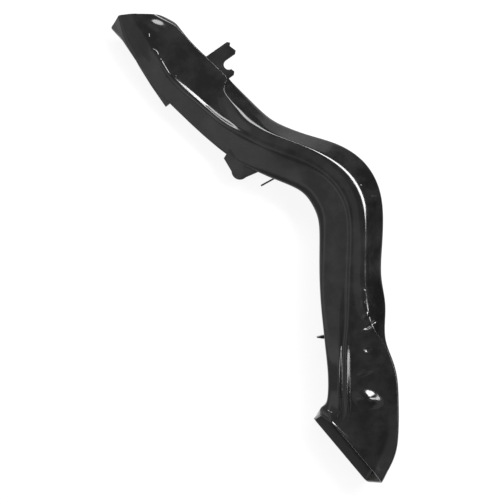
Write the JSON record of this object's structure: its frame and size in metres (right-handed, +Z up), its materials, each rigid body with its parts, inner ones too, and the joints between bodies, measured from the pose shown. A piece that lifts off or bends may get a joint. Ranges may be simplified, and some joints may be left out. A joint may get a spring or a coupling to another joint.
{
  "type": "air intake duct",
  "caption": "Rigid blow-moulded air intake duct for a car: S-shaped hollow run from a flat inlet mouth to a rectangular outlet mouth, with a notched fixing bracket.",
  "frame": {"origin": "bottom centre of the bounding box, on the surface the duct lies on", "axes": "+Z up from the flat underside, +Y along the longest extent towards the inlet mouth, +X towards the outside of the main bend"},
  "size_m": [0.3341, 0.5418, 0.0562],
  "materials": {
    "duct_plastic": "semi-gloss black, as moulded"
  },
  "bodies": {
    "root": {"intake_duct": "duct_plastic"}
  },
  "joints": []
}
